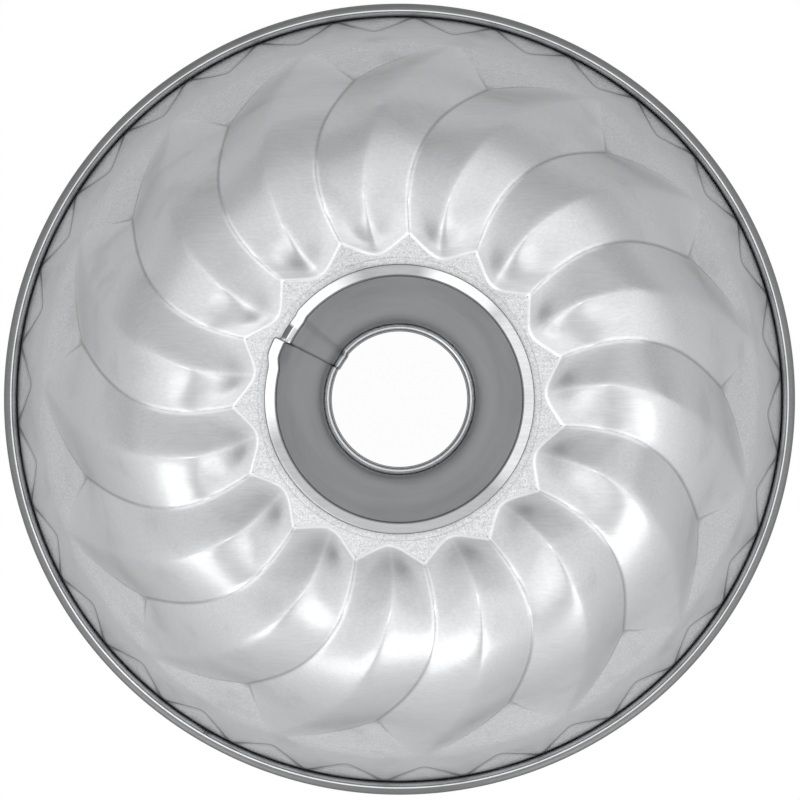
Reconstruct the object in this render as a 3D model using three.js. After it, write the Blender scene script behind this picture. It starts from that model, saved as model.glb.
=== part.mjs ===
import * as THREE from "three";

// Fluted tube pan of tinplate sheet, in millimetres, +Z up. It stands upside down on its rolled rim, so the
// flutes are on top. The origin is the middle of the plane that the rim stands on.

// Sheet and fits
const SHEET = 0.4;
const CLEARANCE = 0.2; // between two pieces that are folded or rolled together

// Whole pan
const RIM_DIAMETER = 220; // outside of the rolled rim
const PAN_HEIGHT = 105; // from the rim's underside to the crests of the flutes
const FLUTES = 15;
const FIRST_TIP_ANGLE = 9.75; // degrees from +X to the tip of the first flute

// Rolled rim
const WIRE_DIAMETER = 2.85;
const WIRE_GAP = 0.5; // between the two ends of the wire
const WIRE_GAP_ANGLE = 240; // degrees from +X
const RIM_CREVICE = 0.37; // open slot between the wire and the wall
const RIM_BEND = 0.5; // where the wall turns out to the roll
const RIM_TURN = 190; // degrees that the roll turns from its lowest line to its cut edge, just past the top

// Plain wall below the flutes, with its zigzag step
const WALL_DRAFT = 20.5; // degrees from upright
const ZIGZAG_LOW = 4.6; // height of the points nearest the rim
const ZIGZAG_HIGH = 15.9;
const ZIGZAG_STEP = 0.5; // how far the wall above the zigzag stands out
const ZIGZAG_FALL = 1.8; // height of the step's own slope

// Flutes, from their tips on the wall to the flat ring at the tube
const TIP_HEIGHT = 28.8;
const TIP_WIDTH = 5;
const RIDGE_FULLNESS = 40; // how far a ridge keeps the wall's slope
const CREST_FULLNESS = 24; // how far a ridge runs level outside its crest
const FORK_HEIGHT = 52; // where a valley opens into the gusset between two tips
const GUSSET_DRAFT = 26.3; // degrees from upright
const VALLEY_DRAFT = 15; // degrees from upright, just above the fork
const VALLEY_FULLNESS = 29;
const VALLEY_RISE = 30; // degrees from level, as a valley leaves the ring
const VALLEY_RISE_LENGTH = 26;
const RIDGE_ROUNDING = 0.1; // 0 is a sharp roof ridge
const NOSE_ROUNDING = 0.55;
const NOSE_LENGTH = 15.9; // from a flute's nose at the ring out to its crest
const NOSE_STEEPNESS = 18; // degrees from level, where a nose leaves the ring
const NOSE_FULLNESS = 4.2;
const NOSE_LEVEL = 0.47; // share of the nose's length over which it eases out of the level
const SCALLOP_DEPTH = 4.8; // how far the noses reach in past the valleys
const RING_DEPTH = 10; // from the crests down to the flat ring
const RING_WIDTH = 2.9; // flat ring between the seam and the noses

// Sweep of the flutes round the pan, in degrees from the tip, at a curve's four control points
const RIDGE_SWEEP = [0, 7.4, 13.1, 18.1];
const NOSE_SWEEP = [18.1, 18.55, 17.85, 16.5];
const VALLEY_SWEEP = [4.3, 7.95, 21.35, 16.85]; // besides the half pitch between ridge and valley

// Centre tube
const TUBE_BASE_DIAMETER = 62.6; // outside, at the wide end
const TUBE_MOUTH_DIAMETER = 42.4; // inside, at the narrow end
const TUBE_SETBACK = 3; // from the rim's plane up to the narrow end
const MOUTH_ROLL = 2.4; // outside diameter of the roll at the narrow end
const MOUTH_TURN = 250; // degrees that this roll turns
const MOUTH_BEND = 0.5; // where the tube turns in to its roll
const MOUTH_CREVICE = 0.2; // open slot between this roll and the tube
const SEAM_WIDTH = 2.7; // the folded seam's reach beyond the tube's outside
const SEAM_BEND = 0.6;
const LAP_ANGLE = 153; // degrees from +X to the side seam's cut edge
const LAP_WIDTH = 6;
const LAP_EASE = 2; // width over which the lapped sheet eases back
const LAP_EDGE = 0.2; // width of the cut edge's slope

// Look of the three metals
const SHELL_FINISH = { color: 0xd2d4d6, roughness: 0.35 };
const TUBE_FINISH = { color: 0xc3c5c8, roughness: 0.4 };
const WIRE_FINISH = { color: 0x9a9da0, roughness: 0.5 };

// How finely curves are cut up
const ROLL_STEPS = 6;
const BEND_STEPS = 2;
const TUBE_ROWS = 2;
const SECTION_SIDES = 10;
const NOSE_ROWS = 3;
const FLANK_ROWS = 6;
const TIP_ROWS = 2;
const POINT_DECIMALS = 3; // points that agree to these are one

const PITCH = 360 / FLUTES;
const QUARTER = PITCH / 4;
const QUARTERS = 4 * FLUTES; // round the whole pan
const NARROWEST = QUARTER / 10; // columns nearer to each other than this become one
const RADIANS = Math.PI / 180;
const LOWEST = 270; // degrees to the lowest point of a roll's or bend's section
const tan = (degrees) => Math.tan(degrees * RADIANS);
const sin = (degrees) => Math.sin(degrees * RADIANS);
const cos = (degrees) => Math.cos(degrees * RADIANS);
const lerp = THREE.MathUtils.lerp;

// Places that follow from the sizes
const RIM_ROLL = WIRE_DIAMETER / 2 + CLEARANCE + SHEET; // outside radius
const RIM_CENTRE = RIM_DIAMETER / 2 - RIM_ROLL;
const FOOT_HEIGHT = SHEET + RIM_BEND;
const WIRE_TO_WALL = WIRE_DIAMETER / 2 + RIM_CREVICE; // from the wire's middle, square to the wall
const FOOT_RADIUS =
  RIM_CENTRE - (WIRE_TO_WALL - (RIM_ROLL - FOOT_HEIGHT) * sin(WALL_DRAFT)) / cos(WALL_DRAFT);
const RING_HEIGHT = PAN_HEIGHT - RING_DEPTH;
const TUBE_BASE = TUBE_BASE_DIAMETER / 2;
const SEAM_RADIUS = TUBE_BASE + SEAM_WIDTH;
const NECK_RADIUS = TUBE_BASE + CLEARANCE + SHEET; // outside of the shell's neck round the tube
const NOSE_RADIUS = SEAM_RADIUS + RING_WIDTH;
const CUSP_RADIUS = NOSE_RADIUS + SCALLOP_DEPTH;
const CREST_RADIUS = NOSE_RADIUS + NOSE_LENGTH;
const TIP_RADIUS = wallRadius(TIP_HEIGHT) + ZIGZAG_STEP;
const TIP_HALF_ANGLE = TIP_WIDTH / 2 / TIP_RADIUS / RADIANS;

// The seam's layers, from the ring up: the tube's hook, the shell's hook, the tube's flange
const HOOK_BOTTOM = RING_HEIGHT + CLEARANCE;
const NECK_TOP = HOOK_BOTTOM + SHEET + CLEARANCE;
const SEAM_TOP = NECK_TOP + SHEET + CLEARANCE + SHEET;

function wallRadius(height) {
  return FOOT_RADIUS - tan(WALL_DRAFT) * (height - FOOT_HEIGHT);
}

// A place is (radius, degrees, height). It becomes a point once it is turned round the axis.
function place(radius, degrees, height) {
  return new THREE.Vector3(radius, degrees, height);
}

function pointAt(at, turn = 0) {
  const angle = at.y + turn;
  return new THREE.Vector3(at.x * cos(angle), at.x * sin(angle), at.z);
}

function steps(from, to, count) {
  return Array.from({ length: count }, (_, i) => lerp(from, to, (i + 1) / count));
}

// One cell runs from a flute's left valley over its ridge to its right valley, and then across the gusset to
// the next flute's tip. Angles in a cell are measured from its tip.

const tip = place(TIP_RADIUS, RIDGE_SWEEP[0], TIP_HEIGHT);
const crest = place(CREST_RADIUS, RIDGE_SWEEP[3], PAN_HEIGHT);
const nose = place(NOSE_RADIUS, NOSE_SWEEP[3], RING_HEIGHT);
const ridgeCurve = new THREE.CubicBezierCurve3(
  tip,
  place(
    TIP_RADIUS - RIDGE_FULLNESS * sin(WALL_DRAFT),
    RIDGE_SWEEP[1],
    TIP_HEIGHT + RIDGE_FULLNESS * cos(WALL_DRAFT),
  ),
  place(CREST_RADIUS + CREST_FULLNESS, RIDGE_SWEEP[2], PAN_HEIGHT),
  crest,
);
const noseCurve = new THREE.CubicBezierCurve3(
  crest,
  place(lerp(CREST_RADIUS, NOSE_RADIUS, NOSE_LEVEL), NOSE_SWEEP[1], PAN_HEIGHT),
  place(
    NOSE_RADIUS + NOSE_FULLNESS * cos(NOSE_STEEPNESS),
    NOSE_SWEEP[2],
    RING_HEIGHT + NOSE_FULLNESS * sin(NOSE_STEEPNESS),
  ),
  nose,
);

const valleyAngle = (i) => VALLEY_SWEEP[i] + PITCH / 2;
const forkRadius = TIP_RADIUS - tan(GUSSET_DRAFT) * (FORK_HEIGHT - TIP_HEIGHT);
const fork = place(forkRadius, valleyAngle(0), FORK_HEIGHT);
const cusp = place(CUSP_RADIUS, valleyAngle(3), RING_HEIGHT);
const valleyCurve = new THREE.CubicBezierCurve3(
  fork,
  place(
    forkRadius - VALLEY_FULLNESS * sin(VALLEY_DRAFT),
    valleyAngle(1),
    FORK_HEIGHT + VALLEY_FULLNESS * cos(VALLEY_DRAFT),
  ),
  place(
    CUSP_RADIUS + VALLEY_RISE_LENGTH * cos(VALLEY_RISE),
    valleyAngle(2),
    RING_HEIGHT + VALLEY_RISE_LENGTH * sin(VALLEY_RISE),
  ),
  cusp,
);
const leftCorner = place(TIP_RADIUS, -TIP_HALF_ANGLE, TIP_HEIGHT);
const rightCorner = place(TIP_RADIUS, TIP_HALF_ANGLE, TIP_HEIGHT);
const onePitchBack = (at) => place(at.x, at.y - PITCH, at.z);

// Along a flute, 0 is the ring and 1 the tip.
const CREST_AT = 0.22;
const FORK_AT = 0.84;

function ridgeAt(along) {
  if (along < CREST_AT) return noseCurve.getPoint(1 - along / CREST_AT);
  return ridgeCurve.getPoint(1 - (along - CREST_AT) / (1 - CREST_AT));
}

// The flute's two edges: its valleys, and past the forks the two arms that close in on its tip.
function edgesAt(along) {
  if (along <= FORK_AT) {
    const right = valleyCurve.getPoint(1 - along / FORK_AT);
    return { left: onePitchBack(right), right };
  }
  const past = (along - FORK_AT) / (1 - FORK_AT);
  return {
    left: onePitchBack(fork).lerp(leftCorner, past),
    right: fork.clone().lerp(rightCorner, past),
  };
}

// Height of a flute's side between its edge (0) and its ridge (1), with the ridge rounded off.
function sideRise(across, rounding) {
  const soft = (x) => Math.hypot(x, rounding);
  return (soft(1) - soft(1 - across)) / (soft(1) - soft(0));
}

function onSide(edge, ridge, across, rounding) {
  const rise = sideRise(across, rounding);
  return place(lerp(edge.x, ridge.x, rise), lerp(edge.y, ridge.y, across), lerp(edge.z, ridge.z, rise));
}

const SIDE_STEPS = [0, 0.4, 0.75]; // from an edge up to the ridge
const GUSSET_STEPS = [1, 2, 3]; // quarters of the pitch

// The cell's columns at one place along the flute: left side, ridge, right side, gusset.
function fluteRow(along) {
  const { left, right } = edgesAt(along);
  const ridge = ridgeAt(along);
  const sideSteps = along < 1 ? SIDE_STEPS : SIDE_STEPS.map(Math.round);
  const rounding = lerp(NOSE_ROUNDING, RIDGE_ROUNDING, Math.min(along / CREST_AT, 1));
  const nextLeft = place(left.x, left.y + PITCH, left.z);
  const gussetShare = (i) => (i * QUARTER - TIP_HALF_ANGLE) / (PITCH - 2 * TIP_HALF_ANGLE);
  return [
    ...sideSteps.map((across) => onSide(left, ridge, across, rounding)),
    ridge,
    ...sideSteps.toReversed().map((across) => onSide(right, ridge, across, rounding)),
    ...GUSSET_STEPS.map((i) => right.clone().lerp(nextLeft, gussetShare(i))),
  ];
}

// The same columns where the cell is plain and round: below the tips they close up to four a flute, with
// the flute's own columns gathered at its tip, and at the ring to four between two cusps.
const COLUMN_BELOW = [0, 0, 0, 0, 0, 0, 0, 1, 2, 3];
const COLUMN_AT_RING = [0, 1, 1, 2, 3, 3, 4, 4, 4, 4];

function wallRow(profile) {
  return COLUMN_BELOW.map((column) => {
    const { x, y } = profile(column);
    return place(x, column * QUARTER, y);
  });
}

function ringRow({ x, y }) {
  return COLUMN_AT_RING.map((column) => place(x, cusp.y - PITCH + column * QUARTER, y));
}

// The zigzag's points are high at a tip and half way between two tips.
function zigzagRow(standOut, rise) {
  return wallRow((column) => {
    const height = (column % 2 ? ZIGZAG_LOW : ZIGZAG_HIGH) + rise;
    return new THREE.Vector2(wallRadius(height) + standOut, height);
  });
}

function arc(centreX, centreY, radius, from, to, count) {
  return [from, ...steps(from, to, count)].map(
    (angle) => new THREE.Vector2(centreX + radius * cos(angle), centreY + radius * sin(angle)),
  );
}

// Show face of the rolled rim as (radius, height), from the foot of the wall round to the roll's end.
const rimProfile = [
  ...arc(FOOT_RADIUS + RIM_BEND, FOOT_HEIGHT, RIM_BEND, 180, LOWEST, BEND_STEPS),
  ...arc(RIM_CENTRE, RIM_ROLL, RIM_ROLL - SHEET, LOWEST, LOWEST + RIM_TURN, ROLL_STEPS),
];

// Show face of the shell's neck as (radius, height), from the end of its hook down to the ring.
const neckProfile = [
  new THREE.Vector2(SEAM_RADIUS - SHEET - CLEARANCE, NECK_TOP),
  new THREE.Vector2(NECK_RADIUS, NECK_TOP),
  new THREE.Vector2(NECK_RADIUS, RING_HEIGHT),
];

function shellGeometry() {
  const alongFlute = [
    0,
    ...steps(0, CREST_AT, NOSE_ROWS),
    ...steps(CREST_AT, FORK_AT, FLANK_ROWS),
    ...steps(FORK_AT, 1, TIP_ROWS),
  ];
  const cellRows = [
    ...neckProfile.map(ringRow),
    ...alongFlute.map(fluteRow),
    zigzagRow(ZIGZAG_STEP, ZIGZAG_FALL / 2),
    zigzagRow(0, -ZIGZAG_FALL / 2),
    ...rimProfile.map((at) => wallRow(() => at)),
  ];
  const turns = Array.from({ length: FLUTES }, (_, i) => FIRST_TIP_ANGLE + i * PITCH);
  return sheetSolid(cellRows.map((row) => turns.flatMap((turn) => row.map((at) => pointAt(at, turn)))));
}

// Columns round the tube: the same as round the shell's neck, and the edges of the lap.
function tubeAngles() {
  const start = FIRST_TIP_ANGLE + cusp.y;
  const even = Array.from({ length: QUARTERS }, (_, i) => (start + i * QUARTER) % 360);
  const lapEdges = lapProfile().map(([angle]) => angle);
  const free = even.filter((angle) => lapEdges.every((edge) => Math.abs(angle - edge) > NARROWEST));
  return [...free, ...lapEdges].sort((a, b) => a - b);
}

// The lap as [angle, thickness]: the outer sheet eases in under the inner one, which ends in a cut edge.
function lapProfile() {
  const degrees = (width) => width / TUBE_BASE / RADIANS;
  return [
    [LAP_ANGLE - degrees(LAP_WIDTH + LAP_EASE), 0],
    [LAP_ANGLE - degrees(LAP_WIDTH), SHEET],
    [LAP_ANGLE, SHEET],
    [LAP_ANGLE + degrees(LAP_EDGE), 0],
  ];
}

function lapAt(angle) {
  const profile = lapProfile();
  const next = profile.findIndex(([edge]) => edge >= angle);
  if (next < 1) return 0;
  const [[from, low], [to, high]] = profile.slice(next - 1, next + 1);
  return lerp(low, high, (angle - from) / (to - from));
}

// Show face of the tube as (radius, height): roll at the mouth, wall, flange, and hook under the shell's own.
const mouthRadius = TUBE_MOUTH_DIAMETER / 2;
const mouthFloor = TUBE_SETBACK + SHEET;
const mouthProfile = [
  ...arc(
    mouthRadius - MOUTH_CREVICE - MOUTH_ROLL / 2,
    TUBE_SETBACK + MOUTH_ROLL / 2,
    MOUTH_ROLL / 2 - SHEET,
    LOWEST - MOUTH_TURN,
    LOWEST,
    ROLL_STEPS,
  ),
  ...arc(mouthRadius - MOUTH_BEND, mouthFloor + MOUTH_BEND, MOUTH_BEND, LOWEST, 360, BEND_STEPS),
];
const lappedProfile = [
  ...steps(0, 1, TUBE_ROWS).map(
    (share) =>
      new THREE.Vector2(
        lerp(mouthRadius, TUBE_BASE - SHEET, share),
        lerp(mouthFloor + MOUTH_BEND, RING_HEIGHT - SHEET, share),
      ),
  ),
  ...arc(TUBE_BASE - SHEET + SEAM_BEND, SEAM_TOP - SEAM_BEND, SEAM_BEND, 180, 90, BEND_STEPS),
];
const hookProfile = [
  new THREE.Vector2(SEAM_RADIUS, SEAM_TOP),
  new THREE.Vector2(SEAM_RADIUS, HOOK_BOTTOM),
  new THREE.Vector2(NECK_RADIUS + CLEARANCE, HOOK_BOTTOM),
];

function tubeGeometry() {
  const angles = tubeAngles();
  const profile = [...mouthProfile, ...lappedProfile, ...hookProfile];
  const rows = profile.map((at) => angles.map((angle) => pointAt(place(at.x, angle, at.y))));
  const lapped = (row) => lappedProfile.includes(profile[row]);
  return sheetSolid(rows, (row, column) => (lapped(row) ? lapAt(angles[column]) : 0));
}

// The wire is bent to a ring with its two ends nearly meeting. It turns at the same angles as the roll.
function wireGeometry() {
  const halfGap = WIRE_GAP / 2 / RIM_CENTRE / RADIANS;
  const start = WIRE_GAP_ANGLE + halfGap;
  const end = WIRE_GAP_ANGLE + 360 - halfGap;
  const turnsOfRoll = Array.from({ length: 2 * QUARTERS }, (_, i) => FIRST_TIP_ANGLE + i * QUARTER);
  const between = turnsOfRoll.filter((angle) => angle > start + NARROWEST && angle < end - NARROWEST);
  const angles = [start, ...between, end];
  const section = arc(RIM_CENTRE, RIM_ROLL, WIRE_DIAMETER / 2, 0, 360, SECTION_SIDES).slice(1);
  const middle = section.map(() => new THREE.Vector2(RIM_CENTRE, RIM_ROLL));
  const rowAt = (outline, angle) => outline.map((at) => pointAt(place(at.x, angle, at.y)));
  const rows = [
    rowAt(middle, start),
    ...angles.map((angle) => rowAt(section, angle)),
    rowAt(middle, end),
  ];
  const { points, triangles } = skin(rows);
  return geometryOf(points, triangles);
}

// Joins rows of points, each a ring that closes on itself. Points that coincide become one.
function skin(rows) {
  const points = [];
  const known = new Map();
  const numberOf = (point) => {
    const key = point.toArray().map((value) => value.toFixed(POINT_DECIMALS)).join(" ");
    if (!known.has(key)) known.set(key, points.push(point) - 1);
    return known.get(key);
  };
  const numbers = rows.map((row) => row.map(numberOf));
  const triangles = [];
  const addTriangle = (...corners) => {
    if (new Set(corners).size === 3) triangles.push(corners);
  };
  for (let row = 0; row + 1 < numbers.length; row++) {
    const [here, there] = [numbers[row], numbers[row + 1]];
    here.forEach((corner, i) => {
      const next = (i + 1) % here.length;
      addTriangle(corner, there[i], there[next]);
      addTriangle(corner, there[next], here[next]);
    });
  }
  return { points, triangles, numbers };
}

// For each point, the step behind it that keeps one thickness between two faces, at a fold too.
function stepsBehind(points, triangles) {
  const normals = points.map(() => []);
  const triangle = new THREE.Triangle();
  for (const corners of triangles) {
    triangle.set(...corners.map((corner) => points[corner]));
    const normal = triangle.getNormal(new THREE.Vector3());
    corners.forEach((corner, i) => {
      const toNext = points[corners[(i + 1) % 3]].clone().sub(points[corner]);
      const toLast = points[corners[(i + 2) % 3]].clone().sub(points[corner]);
      normals[corner].push({ normal, weight: toNext.angleTo(toLast) });
    });
  }
  return normals.map((around) => {
    const mean = new THREE.Vector3();
    around.forEach(({ normal, weight }) => mean.addScaledVector(normal, weight));
    mean.normalize();
    const total = around.reduce((sum, { weight }) => sum + weight, 0);
    const facing = around.reduce((sum, { normal, weight }) => sum + weight * normal.dot(mean), 0) / total;
    return mean.multiplyScalar(-1 / facing);
  });
}

// A sheet as a closed solid: its show face, its back face one thickness behind, and the two cut edges.
function sheetSolid(rows, extra = () => 0) {
  const { points, triangles, numbers } = skin(rows);
  const behind = stepsBehind(points, triangles);
  const back = points.map((point, i) => point.clone().addScaledVector(behind[i], SHEET));
  const front = points.map((point) => point.clone());
  numbers.forEach((row, i) =>
    row.forEach((number, j) => {
      front[number].copy(points[number]).addScaledVector(behind[number], -extra(i, j));
    }),
  );
  const count = points.length;
  const closed = triangles.flatMap(([a, b, c]) => [[a, b, c], [a + count, c + count, b + count]]);
  const addEdge = (from, to) => {
    if (from === to) return;
    closed.push([to, from, from + count], [to, from + count, to + count]);
  };
  const first = numbers[0];
  const last = numbers[numbers.length - 1];
  first.forEach((number, i) => addEdge(first[(i + 1) % first.length], number));
  last.forEach((number, i) => addEdge(number, last[(i + 1) % last.length]));
  return geometryOf([...front, ...back], closed);
}

function geometryOf(points, triangles) {
  const geometry = new THREE.BufferGeometry().setFromPoints(points);
  geometry.setIndex(triangles.flat());
  geometry.computeVertexNormals();
  return geometry;
}

function addPiece(group, name, geometry, finish) {
  const material = new THREE.MeshStandardMaterial({ ...finish, metalness: 1 });
  const mesh = new THREE.Mesh(geometry, material);
  mesh.name = name;
  group.add(mesh);
}

const pan = new THREE.Group();
addPiece(pan, "fluted_shell", shellGeometry(), SHELL_FINISH);
addPiece(pan, "centre_tube", tubeGeometry(), TUBE_FINISH);
addPiece(pan, "rim_wire", wireGeometry(), WIRE_FINISH);

export default pan;
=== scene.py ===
import math

import bmesh
import bpy
from bpy.props import FloatProperty, FloatVectorProperty, IntProperty, PointerProperty
from mathutils import Matrix, Vector, noise


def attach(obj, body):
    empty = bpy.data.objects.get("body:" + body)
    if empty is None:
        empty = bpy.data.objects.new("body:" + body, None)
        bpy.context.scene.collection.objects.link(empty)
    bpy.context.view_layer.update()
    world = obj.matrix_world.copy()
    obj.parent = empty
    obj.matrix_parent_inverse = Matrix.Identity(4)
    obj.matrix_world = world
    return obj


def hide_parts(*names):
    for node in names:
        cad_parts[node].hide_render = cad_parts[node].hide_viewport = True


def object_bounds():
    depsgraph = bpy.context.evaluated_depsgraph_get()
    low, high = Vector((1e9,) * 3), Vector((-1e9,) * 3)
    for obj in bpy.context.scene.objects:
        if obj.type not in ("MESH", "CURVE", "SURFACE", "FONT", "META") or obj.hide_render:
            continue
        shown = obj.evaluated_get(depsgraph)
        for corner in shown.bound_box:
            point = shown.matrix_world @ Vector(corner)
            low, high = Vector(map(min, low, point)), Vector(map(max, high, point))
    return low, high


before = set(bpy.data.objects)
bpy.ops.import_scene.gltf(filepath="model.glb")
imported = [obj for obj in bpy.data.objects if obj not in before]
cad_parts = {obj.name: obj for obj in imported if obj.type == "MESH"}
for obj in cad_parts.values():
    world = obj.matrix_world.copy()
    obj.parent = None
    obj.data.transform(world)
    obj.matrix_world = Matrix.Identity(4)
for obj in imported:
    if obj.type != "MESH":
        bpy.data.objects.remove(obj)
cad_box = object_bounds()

bl_info = {
    "name": "Fluted tube pan",
    "version": (1, 0, 0),
    "blender": (4, 5, 0),
    "location": "View3D > Sidebar > Tube pan",
    "description": "Builds the finished look of a fluted tinplate tube pan over its solid model",
    "category": "Mesh",
}

MM = 0.001


def hex_colour(text):
    """Linear colour of an sRGB hex value."""
    values = [int(text[i:i + 2], 16) / 255 for i in (1, 3, 5)]
    return [v / 12.92 if v <= 0.04045 else ((v + 0.055) / 1.055) ** 2.4 for v in values]


def length(name, description, millimetres):
    """A length that a user may change, in metres, given in millimetres."""
    return FloatProperty(name=name, description=description, default=millimetres * MM, min=0,
                         precision=5, unit="LENGTH", subtype="DISTANCE")


def colour(name, description, text):
    """A colour that a user may change."""
    return FloatVectorProperty(name=name, description=description, default=hex_colour(text),
                               min=0, max=1, size=3, subtype="COLOR")


def share(name, description, value):
    """A plain number from 0 to 1 that a user may change."""
    return FloatProperty(name=name, description=description, default=value, min=0, max=1, subtype="FACTOR")


def brightness(name, description, value):
    """A brightness that a user may change, where 1 is white."""
    return FloatProperty(name=name, description=description, default=value, min=0)


def power(name, description, watts):
    """A lamp's power that a user may change."""
    return FloatProperty(name=name, description=description, default=watts, min=0, unit="POWER")


class PanSizes(bpy.types.PropertyGroup):
    """Sizes of the pan that don't follow from the solid model's box."""

    flutes: IntProperty(name="Flutes", description="Number of flutes round the pan", default=15, min=5)
    sheet: length("Sheet", "Thickness of the tinplate", 0.4)
    wire: length("Wire", "Diameter of the wire in the rolled rim", 2.85)
    clearance: length("Clearance", "Room between two pieces that are folded together", 0.2)
    zigzag_step: length("Zigzag step", "How far the wall above the zigzag stands out", 0.5)
    scallop_fillet: length("Scallop fillet", "Hollow where a flute's nose meets the flat ring", 0.45)
    ridge_rounding: share("Ridge rounding", "Rounding of the flutes' ridges, 0 is a sharp roof", 0.1)
    crest_rounding: share("Crest rounding", "Rounding of the flutes near their crests", 0.5)
    scallop_rounding: share("Scallop rounding", "Rounding of the scalloped line of the noses", 0.6)
    seam: length("Seam", "Reach of the folded seam beyond the tube", 2.7)
    lap: length("Lap", "Width of the lap at the tube's side seam", 6)
    unevenness: length("Unevenness", "Depth of the shallow waves that pressing leaves in the sheet", 0.1)


class PanFinish(bpy.types.PropertyGroup):
    """Colours and polish of the pan's three metals."""

    shell_colour: colour("Shell", "Tinplate of the fluted shell", "#D4D5D6")
    shell_roughness: share("Shell roughness", "Roughness of the pressed tinplate", 0.42)
    # drawn greyer than the shell, as painted shade inside the tube
    tube_colour: colour("Tube", "Tinplate of the centre tube", "#B2B4B6")
    tube_roughness: share("Tube roughness", "Roughness of the rolled tinplate", 0.36)
    # Colour towards which a high burnish paints, as a highlight
    highlight_colour: colour("Worn edges", "Tin that is rubbed bright", "#F6F7F8")
    wire_colour: colour("Wire", "Drawn steel of the rim wire", "#BABCBE")
    wire_roughness: share("Wire roughness", "Roughness of the drawn wire", 0.45)


class StageLook(bpy.types.PropertyGroup):
    """Floor and light of the studio."""

    floor_colour: colour("Floor", "White paper under the pan", "#FFFFFF")
    far_shade_colour: colour("Far floor", "Floor behind the pan, away from the light", "#C6C6C6")
    room_colour: colour("Room", "Walls and ceiling, as the metal mirrors them", "#FFFFFF")
    room_front: brightness("Front wall", "Brightness of the room in front", 1.42)
    room_back: brightness("Back wall", "Brightness of the room behind", 0.74)
    front_lights: power("Front lights", "Power of each of the two softboxes in front", 0.09)
    overhead: power("Overhead", "Power of the softbox above", 0.7)


# The whole pan, from the solid model's box. It stands mouth down on its rolled rim.
RIM_RADIUS = (cad_box[1].x - cad_box[0].x) / 2
PAN_HEIGHT = cad_box[1].z
FIRST_TIP_ANGLE = 9.75  # degrees from +X to the tip of the first flute

# Rolled rim and its wire
RIM_CREVICE = 0.37 * MM  # open slot between the wire and the wall
RIM_BEND = 0.5 * MM  # radius of the bend from the wall into the roll
RIM_TURN = 190  # degrees; the roll ends on top, so that the wire shows between it and the wall
RIM_LIP = 7  # degrees of the roll at its cut edge that carry a painted highlight
RIM_STAND = 0.02 * MM  # keeps the roll's underside just above the floor
WIRE_GAP = 0.5 * MM  # between the wire's two ends
WIRE_GAP_ANGLE = 240  # degrees from +X to this gap

# Plain wall below the flutes
WALL_DRAFT = 20.5  # degrees from upright
WALL_FLARE = 0.5 * MM  # how far the wall swells out just above the rim
FLARE_HEIGHTS = (10 * MM, 4.5 * MM, 1.5 * MM)  # where the flare begins, is widest and ends
ZIGZAG_LOW = 4.6 * MM
ZIGZAG_HIGH = 15.9 * MM
ZIGZAG_FALL = 1.8 * MM  # height that the step at the zigzag takes
ZIGZAG_LINE = 1.9 * MM  # half the height of the zigzag's dark line
ZIGZAG_CORE = 0.8 * MM  # half the height of the line's darkest part
ZIGZAG_POINTEDNESS = 0.92  # 1 is a sharp zigzag, 0 a plain wave

# Flutes. A fullness is the distance from a curve's end to its next control.
TIP_HEIGHT = 28.8 * MM
TIP_WIDTH = 5 * MM
RIDGE_FULLNESS = 40 * MM
CREST_FULLNESS = 24 * MM
FORK_HEIGHT = 52 * MM
GUSSET_DRAFT = 26.3  # degrees from upright
VALLEY_DRAFT = 15  # degrees from upright, at the fork
VALLEY_FULLNESS = 29 * MM
VALLEY_RISE = 30  # degrees from level, at the ring
VALLEY_RISE_LENGTH = 26 * MM
VALLEY_HOLLOW = 0.06  # share of a side that the hollow along a valley takes
VALLEY_CREASE = 0.5  # how much of a side's slope is left at the crease
NOSE_LENGTH = 15.9 * MM
NOSE_STEEPNESS = 18  # degrees from level, at the ring
NOSE_FULLNESS = 4.2 * MM
NOSE_LEVEL = 0.47  # share of the nose from its crest to the next control
SCALLOP_DEPTH = 4.8 * MM
RING_DEPTH = 10 * MM
RING_HEIGHT = PAN_HEIGHT - RING_DEPTH
RING_WIDTH = 2.9 * MM
RING_LINE = 1.15 * MM  # from the noses in to the faint line round the ring
RING_LINE_WIDTH = 0.25 * MM
SCALLOP_MARGIN = 0.7 * MM  # from the noses in to where the ring's finish begins

# Degrees round the pan of the controls of a flute's curves
RIDGE_SWEEP = (0, 7.4, 13.1, 18.1)
NOSE_SWEEP = (18.1, 18.55, 17.85, 16.5)
VALLEY_SWEEP = (4.3, 7.95, 21.35, 16.85)

# Shares of a flute's length, from the ring (0) to its tip (1)
CREST_AT = 0.22
FORK_AT = 0.84
NOSE_ROUNDED = 0.06  # the scallop's rounding has turned into the crest's
RIDGE_ROUNDED = 0.18  # the crest's rounding has turned into the ridge's
HOLLOW_SPAN = (0.1, 0.25)  # the valley is hollow, without a crease
HIGHLIGHT_SPAN = (0.05, 0.3)  # valley edges and ridges carry painted highlights
SPAN_EASE = 0.1
CREASE_WIDENS = (0.25, 0.45)
CREASE_DARKENS = (0.28, 0.58)
CREASE_FADES = 0.88  # from here to the tip
LEFT_ARM_END = 0.94  # the line along a fork's left arm has faded

# Centre tube
TUBE_BASE = 31.3 * MM  # outside radius at the wide end
MOUTH_RADIUS = 21.2 * MM  # inside radius at the narrow end
TUBE_SETBACK = 3 * MM  # from the floor up to the mouth
MOUTH_ROLL = 2.4 * MM  # thickness of the rolled mouth
MOUTH_TURN = 270  # degrees
MOUTH_BEND = 0.5 * MM
MOUTH_CREVICE = 0.04 * MM  # between the rolled mouth and the wall
MOUTH_SWELL = 0.45 * MM  # how far the tube swells in just above its rolled mouth
SWELL_HEIGHTS = (10 * MM, 5.6 * MM, 4.2 * MM)  # where the swell begins, is widest and ends
SEAM_BEND = 0.6 * MM
SEAM_EDGE = 0.45 * MM  # rounding of the seam's outer edge
LAP_ANGLE = 153  # degrees from +X to the lap's cut edge
LAP_EASE = 4  # degrees in which the sheet steps in to lie over itself

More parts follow.
